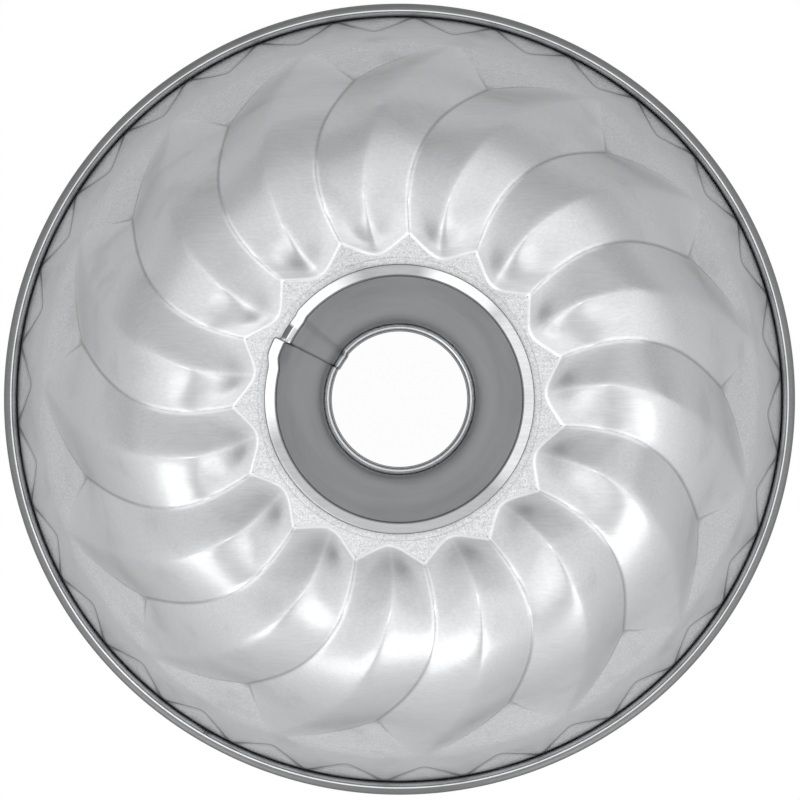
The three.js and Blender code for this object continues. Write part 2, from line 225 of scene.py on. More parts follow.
# Dent in the seam, just past the lap's cut edge
SEAM_DENT = 1.2 * MM
DENT_DEPTH = 8 * MM  # how far up and down it reaches
DENT_FULL = (0.8, 7)  # degrees from the cut edge between which it is deepest
DENT_END = 14

# Waves that pressing leaves
LONG_WAVE = 18 * MM
SHORT_WAVE = 6 * MM
LONG_WAVE_SHARE = 0.7
WAVES_FROM_RIM = 12 * MM  # distances in which the waves grow to their full depth
WAVES_FROM_SEAM = 6 * MM

# Burnish of the sheets, from 0 (all the grain) to 1 (rubbed smooth); a high burnish also paints the colour
# lighter, as a highlight
FLANK_BURNISH = 0.55
# burnish of the painted highlights along valleys and ridges, which also smooths them
HIGHLIGHT_BURNISH = 0.82
GUSSET_BURNISH = 0.1
BAND_BURNISH = 0.5
COLLAR_BURNISH = 0.1
RIM_BURNISH = 0.4  # the roll and the wire
TUBE_BURNISH = 0.5
# burnish of the rolled mouth, high enough to paint it lighter as a highlight
BEAD_BURNISH = 0.85
FLANGE_BURNISH = 0.6
EDGE_HIGHLIGHT = 0.7 * MM  # width of the painted highlight beside a valley
EDGE_HIGHLIGHT_EASE = 0.4 * MM
RIDGE_HIGHLIGHT = 0.6  # how bright the ridge's painted highlight is against that
RIDGE_HIGHLIGHT_WIDTH = 0.5 * MM

# Painted shade on the sheets, from 0 (none) to 1 (darkest): dark lines and darker tones where shade falls
CREASE_DARK = 0.55
CREASE_FAINT = 0.25  # near the ring
CREASE_WIDTH = (0.3 * MM, 0.7 * MM)  # near the ring and farther out
GUSSET_SHADE = 0.09
BAND_SHADE = 0.06
FLANGE_SHADE = 0.1
ZIGZAG_DARK = 0.6
RING_LINE_DARK = 0.3
SEAM_BEND_DARK = 0.8
BEAD_DARK = 0.9  # on the side of the rolled mouth's hole
BEAD_DARK_WIDTH = 0.1 * MM
BEAD_DARK_EASE = 0.15 * MM
WIRE_DARK = (-8, 5)  # painted shadow on the wire, in degrees before and after the roll's cut edge
WIRE_DARK_EASE = 5

# Painted shadow lines along the lap, in degrees from its cut edge, and painted shade and highlights on the
# flange, in degrees from +X
CUT_LINE = (0.2, 0.5)
CUT_LINE_EASE = 0.5
CUT_ON_FLANGE = 1
CUT_ON_FLANGE_EASE = 0.1
LAP_LINE = 2  # width of the fainter line where the sheet begins to lie over itself
LAP_LINE_DARK = 0.35
PINCH_SPAN = (352.5, 359.6)  # painted shade where the sheet is pinched in the flange, before the cut edge
PINCH_EASE = 0.4
PINCH_INNER = (0, 0.35)  # its two parts, as shares of the flange's width
PINCH_INNER_DARK = 0.45
PINCH_OUTER = (0.55, 1)
PINCH_WIDTH_EASE = 0.05
# Painted highlights round the flange
FLANGE_GLINTS = ((60, 10, 15, 1), (152.5, 27.5, 25, 1), (2.5, 32.5, 20, 0.6))  # middle, half, ease, strength

# Mesh steps
SIDE_COLUMNS = 14
GUSSET_COLUMNS = 10
COLUMNS = 2 * SIDE_COLUMNS + GUSSET_COLUMNS
NOSE_ROWS = 18
FLANK_ROWS = 25
TIP_ROWS = 7
BAND_ROWS = 4
ZIGZAG_ROWS = 8
COLLAR_ROWS = 6
RIM_BEND_STEPS = 3
RIM_OUTER_STEPS = 4
RIM_UPPER_STEPS = 10
FILLET_STEPS = 3
CUT_COLUMNS = (0.2, 0.5, 1)  # degrees from the lap's cut edge
EVEN_START = 2
EVEN_STEP = 1.6
LAP_COLUMNS = 8
MOUTH_STEPS = 16
BEND_STEPS = 5
SWELL_ROWS = 6
TUBE_ROWS = 13
SEAM_BEND_STEPS = 6
FLANGE_ROWS = 8
WIRE_SIDES = 48
WIRE_STEPS = 240
WELD = 0.002 * MM
NEAR = 0.1 * MM  # tells rows of the tube's profile apart


def sizes():
    return bpy.context.scene.pan_sizes


def finish():
    return bpy.context.scene.pan_finish


def stage_look():
    return bpy.context.scene.pan_stage


def tan(degrees):
    return math.tan(math.radians(degrees))


def sin(degrees):
    return math.sin(math.radians(degrees))


def cos(degrees):
    return math.cos(math.radians(degrees))


def lerp(a, b, part):
    return a + (b - a) * part


def smooth(part):
    """Eases from 0 to 1."""
    part = min(max(part, 0), 1)
    return part * part * (3 - 2 * part)


def eased(value, first, last):
    """Eases from 0 at first to 1 at last."""
    return smooth((value - first) / (last - first))


def within(value, first, last, soft):
    """1 from first to last, easing to 0 outside them."""
    return smooth((value - first) / soft + 1) * smooth((last - value) / soft + 1)


def between(first, last, count):
    """Count steps after first, up to last."""
    return [lerp(first, last, (i + 1) / count) for i in range(count)]


def arc(centre, radius, first, last, count):
    """Points (radius, height) of an arc, by degrees."""
    return [Vector((centre[0] + radius * cos(a), centre[1] + radius * sin(a)))
            for a in [first, *between(first, last, count)]]


def place(radius, degrees, height):
    """A place round the pan's axis."""
    return Vector((radius, degrees, height))


def point(at):
    """The point of a place."""
    return Vector((at.x * cos(at.y), at.x * sin(at.y), at.z))


def bezier(controls, part):
    """A place on the curve that the controls draw."""
    while len(controls) > 1:
        controls = [a.lerp(b, part) for a, b in zip(controls, controls[1:])]
    return controls[0]


def rim_roll():
    """Outside radius of the rolled rim's section."""
    return sizes().wire / 2 + sizes().clearance + sizes().sheet


def foot_height():
    return sizes().sheet + RIM_BEND


def foot_radius():
    """Where the wall ends at the rim, so that it passes the wire at the crevice's width."""
    reach = sizes().wire / 2 + RIM_CREVICE - (rim_roll() - foot_height()) * sin(WALL_DRAFT)
    return RIM_RADIUS - rim_roll() - reach / cos(WALL_DRAFT)


def swell(height, top, middle, foot):
    """A bulge from 0 to 1 that grows from its top down to its middle, and is gone at its foot."""
    grown = min(max((top - height) / (top - middle), 0), 1)
    return grown * grown * eased(height, foot, middle)


def wall_radius(height):
    flare = WALL_FLARE * swell(height, *FLARE_HEIGHTS)
    return foot_radius() - tan(WALL_DRAFT) * (height - foot_height()) + flare


def seam_radius():
    return TUBE_BASE + sizes().seam


def neck_radius():
    return TUBE_BASE + sizes().clearance + sizes().sheet


class FluteLines:
    """The lines that carry a flute: its ridge, the valley at its right, and its tip."""

    def __init__(self):
        self.pitch = 360 / sizes().flutes
        nose_radius = seam_radius() + RING_WIDTH
        crest_radius = nose_radius + NOSE_LENGTH
        tip_radius = wall_radius(TIP_HEIGHT) + sizes().zigzag_step
        fork_radius = tip_radius - tan(GUSSET_DRAFT) * (FORK_HEIGHT - TIP_HEIGHT)
        cusp_radius = nose_radius + SCALLOP_DEPTH
        valley = [angle + self.pitch / 2 for angle in VALLEY_SWEEP]
        self.corner = place(tip_radius, math.degrees(TIP_WIDTH / 2 / tip_radius), TIP_HEIGHT)
        self.ridge = [
            place(tip_radius, RIDGE_SWEEP[0], TIP_HEIGHT),
            place(tip_radius - RIDGE_FULLNESS * sin(WALL_DRAFT), RIDGE_SWEEP[1],
                  TIP_HEIGHT + RIDGE_FULLNESS * cos(WALL_DRAFT)),
            place(crest_radius + CREST_FULLNESS, RIDGE_SWEEP[2], PAN_HEIGHT),
            place(crest_radius, RIDGE_SWEEP[3], PAN_HEIGHT),
        ]
        self.nose = [
            place(crest_radius, NOSE_SWEEP[0], PAN_HEIGHT),
            place(lerp(crest_radius, nose_radius, NOSE_LEVEL), NOSE_SWEEP[1], PAN_HEIGHT),
            place(nose_radius + NOSE_FULLNESS * cos(NOSE_STEEPNESS), NOSE_SWEEP[2],
                  RING_HEIGHT + NOSE_FULLNESS * sin(NOSE_STEEPNESS)),
            place(nose_radius, NOSE_SWEEP[3], RING_HEIGHT),
        ]
        self.valley = [
            place(fork_radius, valley[0], FORK_HEIGHT),
            place(fork_radius - VALLEY_FULLNESS * sin(VALLEY_DRAFT), valley[1],
                  FORK_HEIGHT + VALLEY_FULLNESS * cos(VALLEY_DRAFT)),
            place(cusp_radius + VALLEY_RISE_LENGTH * cos(VALLEY_RISE), valley[2],
                  RING_HEIGHT + VALLEY_RISE_LENGTH * sin(VALLEY_RISE)),
            place(cusp_radius, valley[3], RING_HEIGHT),
        ]

    def at(self, along):
        """The flute's left edge, ridge and right edge. Along is 0 at the ring and 1 at the tip."""
        if along < CREST_AT:
            ridge = bezier(self.nose, 1 - along / CREST_AT)
        else:
            ridge = bezier(self.ridge, 1 - (along - CREST_AT) / (1 - CREST_AT))
        back = place(0, self.pitch, 0)
        if along <= FORK_AT:
            right = bezier(self.valley, 1 - along / FORK_AT)
            return right - back, ridge, right
        past = (along - FORK_AT) / (1 - FORK_AT)
        fork = self.valley[0]
        left_corner = place(self.corner.x, -self.corner.y, self.corner.z)
        return (fork - back).lerp(left_corner, past), ridge, fork.lerp(self.corner, past)


def side_rise(across, rounding, crease):
    """Height of a flute's side between its edge (0) and its ridge (1)."""
    soft = math.hypot
    hollow = (soft(across, VALLEY_HOLLOW) - VALLEY_HOLLOW) / (soft(1, VALLEY_HOLLOW) - VALLEY_HOLLOW)
    across = lerp(hollow, across, crease)
    return (soft(1, rounding) - soft(1 - across, rounding)) / (soft(1, rounding) - rounding)


def side_share(column):
    """How far a column is from a flute's edge (0) to its ridge (1), closest together at both."""
    steps = min(column, 2 * SIDE_COLUMNS - column)
    return (1 - cos(180 * steps / SIDE_COLUMNS)) / 2


def gusset_share(column):
    """How far a column is across a gusset, closest together at its two arms."""
    return (1 - cos(180 * (column - 2 * SIDE_COLUMNS) / GUSSET_COLUMNS)) / 2


def flute_row(lines, along):
    """Places of one row across a flute and the gusset beside it."""
    left, ridge, right = lines.at(along)
    at_nose = lerp(sizes().scallop_rounding, sizes().crest_rounding, eased(along, 0, NOSE_ROUNDED))
    rounding = lerp(at_nose, sizes().ridge_rounding, eased(along, NOSE_ROUNDED, RIDGE_ROUNDED))
    crease = VALLEY_CREASE * (1 - within(along, *HOLLOW_SPAN, SPAN_EASE))

    def at(column):
        if column >= 2 * SIDE_COLUMNS:
            next_left = left + place(0, lines.pitch, 0)
            return right.lerp(next_left, gusset_share(column))
        edge = left if column < SIDE_COLUMNS else right
        across = side_share(column)
        rise = side_rise(across, rounding, crease)
        return place(lerp(edge.x, ridge.x, rise), lerp(edge.y, ridge.y, across), lerp(edge.z, ridge.z, rise))
    return at


def plain_finish(at, burnish_and_highlight, painted_shade=0):
    """A row whose finish is the same all along."""
    return lambda column: (at(column), burnish_and_highlight, painted_shade)


def flute_finish(lines, along):
    """A flute's row with its finish: a painted dark line of shade in each crease, and painted highlights
    beside it and on the ridge near the crest.
    """
    at = flute_row(lines, along)
    left, ridge, right = lines.at(along)
    gusset_width = (point(right) - point(left + place(0, lines.pitch, 0))).length
    # Painted shade: a dark line along each crease, faint near the ring and fading out at the tip
    darkened = lerp(CREASE_FAINT, CREASE_DARK, eased(along, *CREASE_DARKENS))
    right_dark = darkened * (1 - eased(along, CREASE_FADES, 1))
    left_dark = right_dark
    if along > FORK_AT:
        left_dark = CREASE_DARK * (1 - eased(along, FORK_AT, LEFT_ARM_END))
    # Painted highlights beside the valleys and on the ridge, near the crest
    highlighted = within(along, *HIGHLIGHT_SPAN, SPAN_EASE)
    crease_width = lerp(*CREASE_WIDTH, eased(along, *CREASE_WIDENS))

    def dark(from_edge):
        return within(from_edge, 0, 0, crease_width)

    def on_gusset(column):
        part = gusset_share(column)
        crease = max(right_dark * dark(part * gusset_width), left_dark * dark((1 - part) * gusset_width))
        # Gussets are darkened a little all over with painted shade, and along their arms with painted dark
        # lines
        return at(column), GUSSET_BURNISH, max(crease, GUSSET_SHADE)

    def on_flute(column):
        edge, edge_dark = (left, left_dark) if column < SIDE_COLUMNS else (right, right_dark)
        width = (point(ridge) - point(edge)).length
        from_edge = side_share(column) * width
        beside_edge = within(from_edge, 0, EDGE_HIGHLIGHT, EDGE_HIGHLIGHT_EASE)
        on_ridge = RIDGE_HIGHLIGHT * within(width - from_edge, 0, RIDGE_HIGHLIGHT_WIDTH, RIDGE_HIGHLIGHT_WIDTH)
        bright = highlighted * max(beside_edge, on_ridge)
        return at(column), lerp(FLANK_BURNISH, HIGHLIGHT_BURNISH, bright), edge_dark * dark(from_edge)

    def finished(column):
        return on_gusset(column) if column >= 2 * SIDE_COLUMNS else on_flute(column)
    return finished


def ring_row(lines, radius, height):
    """Places of one row of the flat ring, whose columns end at the valleys."""
    cusp = lines.valley[3]

    def at(column):
        part = min(column / (2 * SIDE_COLUMNS), 1)
        return place(radius, cusp.y + (part - 1) * lines.pitch, height)
    return at


def ring_end_row(lines):
    """Places of the flat ring's last row, which follows the scalloped line of the noses."""
    outer = flute_row(lines, 0)
    return lambda column: outer(column) - place(SCALLOP_MARGIN, 0, 0)


def wall_angle(lines, column, spread):
    """A column's angle below the tips: gathered at the tip (0), or even round the pan (1)."""
    gathered = flute_row(lines, 1)(column).y
    even = (column - SIDE_COLUMNS) * lines.pitch / COLUMNS
    return lerp(gathered, even, spread)


def zigzag_height(lines, angle):
    """The zigzag is high at a tip and half way between two tips."""
    wave = cos(360 * angle / (lines.pitch / 2)) * ZIGZAG_POINTEDNESS
    return lerp(ZIGZAG_LOW, ZIGZAG_HIGH, 0.5 + math.asin(wave) / math.asin(ZIGZAG_POINTEDNESS) / 2)


def band_row(lines, part):
    """Places of the plain band between the tips (0) and the zigzag (1)."""
    def at(column):
        angle = wall_angle(lines, column, smooth(part))
        height = lerp(TIP_HEIGHT, zigzag_height(lines, angle) + ZIGZAG_LINE, part)
        return place(wall_radius(height) + sizes().zigzag_step, angle, height)
    return at


def zigzag_row(lines, rise):
    """Places at a height above or below the middle of the zigzag's step."""
    def at(column):
        angle = wall_angle(lines, column, 1)
        height = zigzag_height(lines, angle) + rise
        stand_out = sizes().zigzag_step * smooth(rise / ZIGZAG_FALL + 0.5)
        return place(wall_radius(height) + stand_out, angle, height)
    return at


def zigzag_finish(lines, rise):
    """The zigzag's step has a painted dark line of shade along it."""
    dark = within(rise, -ZIGZAG_CORE, ZIGZAG_CORE, ZIGZAG_LINE - ZIGZAG_CORE)
    return plain_finish(zigzag_row(lines, rise), BAND_BURNISH, ZIGZAG_DARK * dark)


def collar_row(lines, part):
    """Places between the zigzag's foot (0) and the rim (1)."""
    def at(column):
        angle = wall_angle(lines, column, 1)
        height = lerp(zigzag_height(lines, angle) - ZIGZAG_LINE, foot_height(), part)
        return place(wall_radius(height), angle, height)
    return at


def round_row(lines, at_profile):
    """Places of one plain round row below the flutes."""
    return lambda column: place(at_profile.x, wall_angle(lines, column, 1), at_profile.y)


def rim_profile():
    """Show face of the rolled rim as (radius, height), from the wall's foot to the roll's cut edge."""
    inside = rim_roll() - sizes().sheet
    centre = (RIM_RADIUS - rim_roll(), rim_roll() + RIM_STAND)
    end = 270 + RIM_TURN
    return [
        *arc((foot_radius() + RIM_BEND, foot_height() + RIM_STAND), RIM_BEND, 180, 270, RIM_BEND_STEPS)[1:],
        *arc(centre, inside, 270, 360, RIM_OUTER_STEPS),
        *arc(centre, inside, 360, end - RIM_LIP, RIM_UPPER_STEPS)[1:],
        *arc(centre, inside, end - RIM_LIP, end, 1)[1:],
    ]


def rim_finish(lines, profile):
    """The roll's outside is darkened with painted shade. Its cut edge and its turn into the wall are
    burnished fully, which paints them bright as highlights.
    """
    lip = profile[-2:]

    def row(at):
        bright = at in lip or at.x < RIM_RADIUS - rim_roll()
        return plain_finish(round_row(lines, at), 1 if bright else RIM_BURNISH, 0 if bright else 1)
    return [row(at) for at in profile]


def ring_rows(lines):
    """Rows of the neck at the tube and of the flat ring, which has a faint line round it, painted dark as
    shade.
    """
    neck_top = RING_HEIGHT + 2 * sizes().clearance + sizes().sheet
    hook = seam_radius() - sizes().sheet - sizes().clearance
    line = lines.nose[3].x - RING_LINE
    flat = [(hook, neck_top), (neck_radius(), neck_top), (neck_radius(), RING_HEIGHT),
            (seam_radius(), RING_HEIGHT)]
    rows = [plain_finish(ring_row(lines, *at), 0) for at in flat]
    for offset, dark in ((-RING_LINE_WIDTH, 0), (0, RING_LINE_DARK), (RING_LINE_WIDTH, 0)):
        rows.append(plain_finish(ring_row(lines, line + offset, RING_HEIGHT), 0, dark))
    rows.append(plain_finish(ring_end_row(lines), 0))
    return rows


def shell_rows(lines):
    """The shell's rows, from the neck at the tube to the roll's cut edge, and the scallop's number."""
    ring = ring_rows(lines)
    along = [*between(0, CREST_AT, NOSE_ROWS), *between(CREST_AT, FORK_AT, FLANK_ROWS),
             *between(FORK_AT, 1, TIP_ROWS)]
    rows = [
        *ring,
        # The noses' scalloped line is burnished fully, which paints a bright line on it as a highlight
        plain_finish(flute_row(lines, 0), 1),
        *(flute_finish(lines, part) for part in along),
        # The plain band is darkened a little with painted shade
        *(plain_finish(band_row(lines, part), BAND_BURNISH, BAND_SHADE) for part in between(0, 1, BAND_ROWS)),
        *(zigzag_finish(lines, rise) for rise in between(ZIGZAG_LINE, -ZIGZAG_LINE, ZIGZAG_ROWS)),
        *(plain_finish(collar_row(lines, part), COLLAR_BURNISH) for part in between(0, 1, COLLAR_ROWS)),
        *rim_finish(lines, rim_profile()),
    ]
    return rows, len(ring)


def grid_sheet(columns, rows):
    """A bmesh grid whose corners are moved to the places that the rows give.

    A row is a function of the column, and gives its place, burnish and painted shade.
    """
    half = 0.5
    mesh = bmesh.new()
    row_layer = mesh.verts.layers.int.new("row")
    burnish_and_highlight = mesh.verts.layers.float.new("burnish_and_highlight")
    painted_shade = mesh.verts.layers.float.new("painted_shade")
    bmesh.ops.create_grid(mesh, x_segments=columns, y_segments=len(rows) - 1, size=half)
    for vert in mesh.verts:
        column = round((vert.co.x + half) * columns)
        row = round((vert.co.y + half) * (len(rows) - 1))
        at, vert[burnish_and_highlight], vert[painted_shade] = rows[row](column)
        vert[row_layer] = row
        vert.co = point(at)
    return mesh


def full_turn(mesh, count):
    """Repeats one cell round the pan and welds the cells together."""
    bmesh.ops.remove_doubles(mesh, verts=mesh.verts, dist=WELD)
    everything = [*mesh.verts, *mesh.edges, *mesh.faces]
    bmesh.ops.spin(mesh, geom=everything, cent=(0, 0, 0), axis=(0, 0, 1), steps=count - 1,
                   angle=math.tau * (count - 1) / count, use_duplicate=True)
    bmesh.ops.remove_doubles(mesh, verts=mesh.verts, dist=WELD)


def turn_to(mesh, degrees):
    """Turns a mesh round the pan's axis."""
    bmesh.ops.rotate(mesh, verts=mesh.verts, cent=(0, 0, 0),
                     matrix=Matrix.Rotation(math.radians(degrees), 3, "Z"))


def seam_dent(at):
    """How far a place at the seam is knocked out, which is just past the lap's cut edge."""
    angle = (at.y - LAP_ANGLE) % 360
    round_pan = eased(angle, 0, DENT_FULL[0]) * (1 - eased(angle, DENT_FULL[1], DENT_END))
    along_tube = 1 - eased(abs(at.z - RING_HEIGHT), 0, DENT_DEPTH)
    outward = 1 - eased(at.x, seam_radius(), seam_radius() + RING_WIDTH)
    return SEAM_DENT * round_pan * along_tube * outward


def dent_neck(mesh):
    """Knocks the shell's neck out together with the seam that is folded over it."""
    for vert in mesh.verts:
        at = place(vert.co.xy.length, math.degrees(math.atan2(vert.co.y, vert.co.x)), vert.co.z)
        if at.x < seam_radius() + RING_WIDTH:
            vert.co += vert.co.xy.normalized().to_3d() * seam_dent(at)


def press_waves(mesh):
    """Shallow waves that pressing leaves in the sheet. They fade out at the rim and at the flat ring."""
    mesh.normal_update()
    for vert in mesh.verts:
        radius = vert.co.xy.length
        from_rim = eased(RIM_RADIUS - radius, 0, WAVES_FROM_RIM)
        from_seam = eased(radius - seam_radius(), 0, WAVES_FROM_SEAM)
        wave = lerp(noise.noise(vert.co / SHORT_WAVE), noise.noise(vert.co / LONG_WAVE), LONG_WAVE_SHARE)
        vert.co -= vert.normal * sizes().unevenness * from_rim * from_seam * (1 + wave) / 2


def fluted_shell_mesh():
    rows, scallop = shell_rows(FluteLines())
    mesh = grid_sheet(COLUMNS, rows)
    full_turn(mesh, sizes().flutes)
    turn_to(mesh, FIRST_TIP_ANGLE)
    row = mesh.verts.layers.int["row"]
    edges = [edge for edge in mesh.edges if all(vert[row] == scallop for vert in edge.verts)]
    bmesh.ops.bevel(mesh, geom=edges, offset=sizes().scallop_fillet, offset_type="OFFSET",
                    segments=FILLET_STEPS, profile=0.5, affect="EDGES", material=-1)
    dent_neck(mesh)
    bmesh.ops.recalc_face_normals(mesh, faces=mesh.faces)
    press_waves(mesh)
    return mesh


def lap_start():
    """Degrees from the lap's cut edge, all round the tube, to where the sheet lies over itself."""
    return 360 - sizes().lap * math.degrees(1 / TUBE_BASE)


def tube_angles():
    """Columns round the tube as degrees from the lap's cut edge, closest at the lap's two edges."""
    start = lap_start()
    ease = start - LAP_EASE
    count = int((start - 2 * LAP_EASE) / EVEN_STEP)
    even = [EVEN_START + i * EVEN_STEP for i in range(count)]
    return [0, *CUT_COLUMNS, *even, ease, *between(ease, start, LAP_COLUMNS),
            *between(start, 360, LAP_COLUMNS)]


def lap_at(angle):
    """How far the lapped sheet stands in, from 0 to 1, at an angle measured from the cut edge."""
    return 1 if angle == 0 else eased(angle, lap_start() - LAP_EASE, lap_start())


def tube_profile():
    """Show face of the tube as (radius, height), from its rolled mouth to the hook of the seam."""
    sheet = sizes().sheet
    clearance = sizes().clearance
    roll = MOUTH_ROLL / 2
    foot = TUBE_SETBACK + sheet + MOUTH_BEND
    hook_bottom = RING_HEIGHT + clearance
    seam_top = hook_bottom + 2 * (sheet + clearance) + sheet
    top = (TUBE_BASE - sheet, RING_HEIGHT - sheet)
    swell_top, widest = SWELL_HEIGHTS[:2]
    heights = [*between(foot, widest, SWELL_ROWS), *between(widest, swell_top, SWELL_ROWS),
               *between(swell_top, top[1], TUBE_ROWS)]
    flange = between(top[0] + SEAM_BEND, seam_radius() - SEAM_EDGE, FLANGE_ROWS)[:-1]

    def wall(height):
        bulge = MOUTH_SWELL * swell(height, *SWELL_HEIGHTS)
        return Vector((lerp(MOUTH_RADIUS, top[0], (height - foot) / (top[1] - foot)) - bulge, height))
    return [
        *arc((MOUTH_RADIUS - MOUTH_CREVICE - roll, TUBE_SETBACK + roll), roll - sheet,
             270 - MOUTH_TURN, 270, MOUTH_STEPS),
        *arc((MOUTH_RADIUS - MOUTH_BEND, foot), MOUTH_BEND, 270, 360, BEND_STEPS),
        *(wall(height) for height in heights),
        *arc((top[0] + SEAM_BEND, seam_top - SEAM_BEND), SEAM_BEND, 180, 90, SEAM_BEND_STEPS),
        *(Vector((radius, seam_top)) for radius in flange),
        *arc((seam_radius() - SEAM_EDGE, seam_top - SEAM_EDGE), SEAM_EDGE, 90, 0, BEND_STEPS),
        Vector((seam_radius(), hook_bottom)),
        Vector((neck_radius() + clearance, hook_bottom)),
    ]


def flange_finish(at, angle, lap_lines):
    """The flange is burnished in some places, which paints highlights there, is darkened with painted shade
    between them, and carries painted shade where the lap is pinched in it.
    """
    def glint(middle, half, ease, strength):
        apart = abs((angle + LAP_ANGLE - middle + 180) % 360 - 180)
        return strength * within(apart, 0, half, ease)
    bright = max(glint(*values) for values in FLANGE_GLINTS)
    out = (at.x - TUBE_BASE) / (seam_radius() - TUBE_BASE)
    inner = PINCH_INNER_DARK * within(out, *PINCH_INNER, PINCH_WIDTH_EASE)
    outer = within(out, *PINCH_OUTER, PINCH_WIDTH_EASE)
    pinched = within(angle, *PINCH_SPAN, PINCH_EASE) * max(inner, outer)
    cut = lap_lines * within(angle, 0, CUT_ON_FLANGE, CUT_ON_FLANGE_EASE)
    return lerp(FLANGE_BURNISH, 1, bright), max(pinched, cut, lerp(FLANGE_SHADE, 0, bright))


def tube_finish(at, angle):
    """Burnish and painted shade of the tube at a point of its profile, at an angle measured from the cut
    edge.
    """
    # Painted shadow lines at the lap's cut edge and where the sheet begins to lie over itself
    cut_line = within(angle, *CUT_LINE, CUT_LINE_EASE)
    lap_lines = cut_line + LAP_LINE_DARK * within(angle, lap_start() - LAP_LINE, lap_start(), LAP_LINE)
    # The seam's outer edge is darkened fully with painted shade
    if at.x > seam_radius() - NEAR:
        return TUBE_BURNISH, 1
    if at.y > RING_HEIGHT and at.x > TUBE_BASE + NEAR:
        return flange_finish(at, angle, lap_lines)
    # The seam's bend is darkened with painted shade
    if at.y > RING_HEIGHT:
        return TUBE_BURNISH, SEAM_BEND_DARK
    if at.y > TUBE_SETBACK + MOUTH_ROLL + MM:
        return TUBE_BURNISH, lap_lines
    # The rolled mouth is burnished high, which paints it lighter, and its hole side is darkened with painted
    # shade
    hole_side = MOUTH_RADIUS - MOUTH_CREVICE - MOUTH_ROLL + sizes().sheet
    bead_dark = BEAD_DARK * within(at.x, 0, hole_side + BEAD_DARK_WIDTH, BEAD_DARK_EASE)
    return BEAD_BURNISH, max(lap_lines, bead_dark)


def centre_tube_mesh():
    angles = tube_angles()

    def row(at):
        def finished(column):
            angle = angles[column]
            radius = at.x - lap_at(angle) * sizes().sheet
            dent = seam_dent(place(radius, LAP_ANGLE + angle, at.y))
            return place(radius + dent, LAP_ANGLE + angle, at.y), *tube_finish(at, angle)
        return finished
    mesh = grid_sheet(len(angles) - 1, [row(at) for at in tube_profile()])
    bmesh.ops.remove_doubles(mesh, verts=mesh.verts, dist=WELD)
    bmesh.ops.recalc_face_normals(mesh, faces=mesh.faces)
    return mesh


def rim_wire_mesh():
    """A bent wire: a small circle swept almost all the way round. It carries a painted shadow beside the
    roll's cut edge.
    """
    mesh = bmesh.new()
    burnish_and_highlight = mesh.verts.layers.float.new("burnish_and_highlight")
    painted_shade = mesh.verts.layers.float.new("painted_shade")
    centre = RIM_RADIUS - rim_roll()
    turned = Matrix.Translation((centre, 0, rim_roll())) @ Matrix.Rotation(math.pi / 2, 4, "X")
    bmesh.ops.create_circle(mesh, cap_ends=True, segments=WIRE_SIDES, radius=sizes().wire / 2, matrix=turned)
    bmesh.ops.spin(mesh, geom=mesh.faces[:], cent=(0, 0, 0), axis=(0, 0, 1), steps=WIRE_STEPS,
                   angle=math.tau - WIRE_GAP / centre)
    turn_to(mesh, WIRE_GAP_ANGLE)
    bmesh.ops.recalc_face_normals(mesh, faces=mesh.faces)
    lip = RIM_TURN - 90
    for vert in mesh.verts:
        angle = abs(math.degrees(math.atan2(vert.co.z - rim_roll(), vert.co.xy.length - centre)))
        vert[burnish_and_highlight] = RIM_BURNISH
        vert[painted_shade] = within(angle, lip + WIRE_DARK[0], lip + WIRE_DARK[1], WIRE_DARK_EASE)
    return mesh


def put(name, data):
    """Puts an object of a mesh, lamp or camera into the scene."""
    thing = bpy.data.objects.new(name, data)
    bpy.context.scene.collection.objects.link(thing)
    return thing


def add_object(name, mesh, material):
    """Makes an object of a bmesh, shaded smooth."""
    data = bpy.data.meshes.new(name)
    mesh.to_mesh(data)
    mesh.free()
    data.materials.append(material)
    data.shade_smooth()
    return put(name, data)


def add_sheet(piece):
    """Gives a show face its thickness behind it."""
    solidify = piece.modifiers.new("sheet", "SOLIDIFY")
    solidify.thickness = sizes().sheet
    solidify.offset = -1


def stand_for(piece, node):
    """Lets a piece take the place of its solid."""
    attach(piece, "root")
    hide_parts(node)


def add_node(owner, kind, inputs=None, **settings):
    """Adds a shader node to a material or world.

    An input, by name or number, is a value, an output or a node, which stands for its first output.
    """
    node = owner.node_tree.nodes.new("ShaderNode" + kind)
    for name, value in settings.items():
        setattr(node, name, value)
    for name, value in (inputs or {}).items():
        if isinstance(value, bpy.types.Node):
            value = value.outputs[0]
        if isinstance(value, bpy.types.NodeSocket):
            owner.node_tree.links.new(value, node.inputs[name])
        else:
            node.inputs[name].default_value = value
    return node


def new_material(name):
    material = bpy.data.materials.new(name)
    material.use_nodes = True
    material.node_tree.nodes.clear()
    return material


# Tin
EDGE_TINT = (0.5, 0.5, 0.5, 1)  # painted shade in what the metal mirrors, a little darker where it is seen edge on
CLEAR_SHARE = 0.25  # of the light, which tin mirrors clearly; the rest is hazy
CLEAR_ROUGHNESS = 0.55  # roughness of the clear share against the hazy one
GRAINY_ROUGHER = 0.12  # added to the roughness where nothing is burnished
BURNISHED_SMOOTHER = 0.14  # taken from it where all is
HIGHLIGHT_FROM = 0.65  # burnish above which the colour is painted lighter, towards the highlight colour
DARKEST_PAINTED_SHADE = 0.3  # the darkest painted shade against the clean colour
GRAIN = 0.35 * MM  # the sheet's grain is finer than this, and is drawn coarser so that it shows
GRAIN_CONTRAST = 0.45
GRAIN_BUMP = 0.03 * MM
GRAIN_RUBBED = 0.5  # burnish from which only a little of the grain is left
GRAIN_LEFT = 0.12
STREAK = 0.6 * MM  # width of the lines that rolling leaves, drawn coarser for the same reason
STREAK_STRETCH = (0.07, 1, 1)  # draws them out along X
STREAK_CONTRAST = 0.12
STAIN = 14 * MM  # width of the faint stains that baking and hands leave
STAIN_SPAN = (0.52, 0.75)  # of the pattern, from no stain to a full one
STAIN_DARK = 0.1
CLOUD = 22 * MM  # width of the faint clouds in its polish
CLOUD_CONTRAST = 0.11


